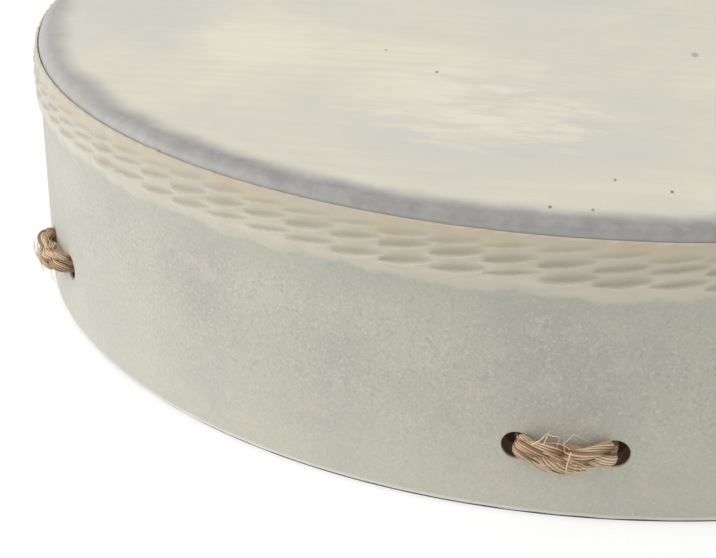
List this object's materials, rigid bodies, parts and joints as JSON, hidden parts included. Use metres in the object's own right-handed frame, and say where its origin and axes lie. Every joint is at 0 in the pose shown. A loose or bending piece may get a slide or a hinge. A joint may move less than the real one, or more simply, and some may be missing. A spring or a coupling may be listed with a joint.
{
  "type": "buffalo drum",
  "caption": "Hand-held frame drum: film head, fibre-board hoop in a felt sleeve, rope web and ring grip across its open back.",
  "frame": {"origin": "centre of the back edge's plane, on which the drum stands", "axes": "+Z from the open back to the playing head; one pair of rope holes faces -Y"},
  "size_m": [0.4118, 0.4248, 0.0889],
  "materials": {
    "fibre_board": "dense brown-grey fibre board, sanded edges",
    "head_film": "matte mottled ivory drum film with cream clouds and a grey band over the rim",
    "felt": "speckled pale grey-green pressed felt, smoother and warmer over the skirt",
    "rope": "plaited plant-fibre rope with loose hairs",
    "twine": "pale plant-fibre twine"
  },
  "bodies": {
    "drum": {"shell_hoop": "fibre_board", "head_film": "head_film", "felt_sleeve": "felt", "rope_loop_1": "rope", "rope_loop_2": "rope", "rope_loop_3": "rope", "rope_loop_4": "rope", "rope_loop_5": "rope", "rope_loop_6": "rope"},
    "grip": {"grip_ring": "rope", "grip_serving": "twine", "seizing_1": "twine", "seizing_2": "twine", "seizing_3": "twine", "seizing_4": "twine", "seizing_5": "twine", "seizing_6": "twine"}
  },
  "joints": [
    {"name": "grip_give", "type": "slide", "parent": "drum", "child": "grip", "axis": [0, 0, 1], "range_m": [-0.008, 0.008], "stiffness_N_per_m": 800, "deforming": ["rope_loop_1", "rope_loop_2", "rope_loop_3", "rope_loop_4", "rope_loop_5", "rope_loop_6"]}
  ]
}
